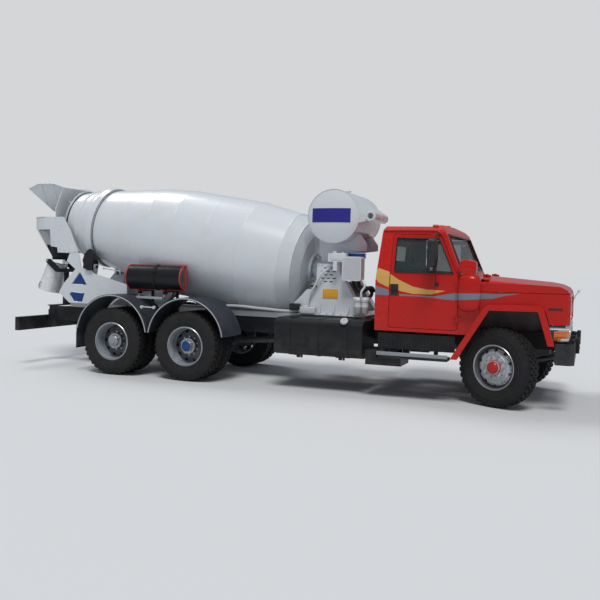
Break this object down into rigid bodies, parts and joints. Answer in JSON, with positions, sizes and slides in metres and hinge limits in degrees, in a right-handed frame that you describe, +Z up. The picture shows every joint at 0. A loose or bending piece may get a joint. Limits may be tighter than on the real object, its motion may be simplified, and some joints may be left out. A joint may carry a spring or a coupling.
{
  "type": "concrete mixer truck",
  "caption": "Long-nosed truck with a turning concrete drum, water tank, hopper, swivelling chute, opening doors and hood, steered front wheels and twin rear wheels.",
  "frame": {"origin": "on the ground at the middle of the truck's overall box", "axes": "+X forward along the truck, +Y to its left, +Z up"},
  "size_m": [9.085, 2.98, 3.048],
  "materials": {
    "frame_paint": "satin black chassis paint",
    "cab_paint": "gloss red paint",
    "mixer_paint": "gloss white paint",
    "gear_paint": "pale grey paint",
    "tyre": "matt black rubber",
    "rim": "grey silver paint",
    "glass": "clear tinted glass",
    "trim": "black grained plastic",
    "seat_fabric": "woven grey cloth",
    "lamp": "clear and orange lenses",
    "tail_lamp": "red lens",
    "black_steel": "semi-gloss black paint",
    "guard": "dusty dark grey paint",
    "bare_steel": "worn bright steel",
    "blade_steel": "steel with dry concrete",
    "engine": "grey cast iron"
  },
  "bodies": {
    "chassis": {"frame_rails": "frame_paint", "subframe": "mixer_paint", "front_axle": "frame_paint", "drive_axles": "frame_paint", "bogie_springs": "frame_paint", "driveline": "engine", "front_bumper": "black_steel", "cab_shell": "cab_paint", "cab_glass": "glass", "cab_interior": "seat_fabric", "nose_panels": "cab_paint", "grille": "trim", "front_lamps": "lamp", "cab_steps": "black_steel", "fuel_tank": "black_steel", "left_equipment": "black_steel", "rear_guards": "guard", "underrun_bar": "black_steel", "tail_lamps": "tail_lamp", "front_pedestal": "mixer_paint", "drum_gearbox": "gear_paint", "water_tank": "mixer_paint", "oil_cooler": "mixer_paint", "rear_pedestal": "mixer_paint", "swivel_bearing": "black_steel", "charge_hopper": "mixer_paint", "discharge_collector": "mixer_paint", "spare_chute": "black_steel"},
    "hood": {"hood_lid": "cab_paint"},
    "right_door": {"door_right": "cab_paint", "door_glass_right": "glass", "door_fittings_right": "trim"},
    "left_door": {"door_left": "cab_paint", "door_glass_left": "glass", "door_fittings_left": "trim"},
    "right_knuckle": {"knuckle_right": "frame_paint"},
    "left_knuckle": {"knuckle_left": "frame_paint"},
    "right_front_wheel": {"front_tyre_right": "tyre", "front_rim_right": "rim"},
    "left_front_wheel": {"front_tyre_left": "tyre", "front_rim_left": "rim"},
    "right_mid_wheels": {"mid_tyres_right": "tyre", "mid_rims_right": "rim"},
    "left_mid_wheels": {"mid_tyres_left": "tyre", "mid_rims_left": "rim"},
    "right_rear_wheels": {"rear_tyres_right": "tyre", "rear_rims_right": "rim"},
    "left_rear_wheels": {"rear_tyres_left": "tyre", "rear_rims_left": "rim"},
    "mixer_drum": {"drum": "mixer_paint", "drum_blades": "blade_steel"},
    "right_roller": {"roller_right": "black_steel"},
    "left_roller": {"roller_left": "black_steel"},
    "swivel": {"chute_swivel": "black_steel"},
    "discharge_chute": {"chute": "bare_steel"}
  },
  "joints": [
    {"name": "steer_right", "type": "hinge", "parent": "chassis", "child": "right_knuckle", "pos_m": [3.6225, -0.9, 0.52], "axis": [0, 0, 1], "range_deg": [-7.5, 56.5]},
    {"name": "steer_left", "type": "hinge", "parent": "chassis", "child": "left_knuckle", "pos_m": [3.6225, 0.9, 0.52], "axis": [0, 0, 1], "range_deg": [-7.5, 56.5]},
    {"name": "front_wheel_right", "type": "hinge", "parent": "right_knuckle", "child": "right_front_wheel", "pos_m": [3.6225, -0.9, 0.52], "axis": [0.4147, 0.91, 0], "continuous": true},
    {"name": "front_wheel_left", "type": "hinge", "parent": "left_knuckle", "child": "left_front_wheel", "pos_m": [3.6225, 0.9, 0.52], "axis": [0.4147, 0.91, 0], "continuous": true},
    {"name": "mid_wheels_right", "type": "hinge", "parent": "chassis", "child": "right_mid_wheels", "pos_m": [-0.9275, -1, 0.52], "axis": [0, 1, 0], "continuous": true},
    {"name": "mid_wheels_left", "type": "hinge", "parent": "chassis", "child": "left_mid_wheels", "pos_m": [-0.9275, 1, 0.52], "axis": [0, 1, 0], "continuous": true},
    {"name": "rear_wheels_right", "type": "hinge", "parent": "chassis", "child": "right_rear_wheels", "pos_m": [-2.2175, -1, 0.52], "axis": [0, 1, 0], "continuous": true},
    {"name": "rear_wheels_left", "type": "hinge", "parent": "chassis", "child": "left_rear_wheels", "pos_m": [-2.2175, 1, 0.52], "axis": [0, 1, 0], "continuous": true},
    {"name": "drum_turn", "type": "hinge", "parent": "chassis", "child": "mixer_drum", "pos_m": [0.6225, 0, 1.737], "axis": [0.9877, 0, -0.1564], "continuous": true},
    {"name": "roller_turn_right", "type": "hinge", "parent": "chassis", "child": "right_roller", "pos_m": [-3.17959, -0.4619, 1.67131], "axis": [0.9877, 0, -0.1564], "continuous": true},
    {"name": "roller_turn_left", "type": "hinge", "parent": "chassis", "child": "left_roller", "pos_m": [-3.17959, 0.4619, 1.67131], "axis": [0.9877, 0, -0.1564], "continuous": true},
    {"name": "door_right_swing", "type": "hinge", "parent": "chassis", "child": "right_door", "pos_m": [3.0505, -1.189, 1.34], "axis": [0, 0, 1], "range_deg": [0, 70]},
    {"name": "door_left_swing", "type": "hinge", "parent": "chassis", "child": "left_door", "pos_m": [3.0505, 1.189, 1.34], "axis": [0, 0, -1], "range_deg": [0, 70]},
    {"name": "hood_lift", "type": "hinge", "parent": "chassis", "child": "hood", "pos_m": [3.3255, 0, 1.702], "axis": [0, -1, 0], "range_deg": [0, 50]},
    {"name": "chute_yaw", "type": "hinge", "parent": "chassis", "child": "swivel", "pos_m": [-4.0375, 0, 1.2], "axis": [0, 0, 1], "range_deg": [-80, 80]},
    {"name": "chute_tilt", "type": "hinge", "parent": "swivel", "child": "discharge_chute", "pos_m": [-4.2575, 0, 1.74], "axis": [0, 1, 0], "range_deg": [0, 56]}
  ],
  "couplings": [
    {"joint": "steer_left", "follows": "steer_right", "ratio": 1},
    {"joint": "roller_turn_right", "follows": "drum_turn", "ratio": -5.44},
    {"joint": "roller_turn_left", "follows": "drum_turn", "ratio": -5.44}
  ]
}
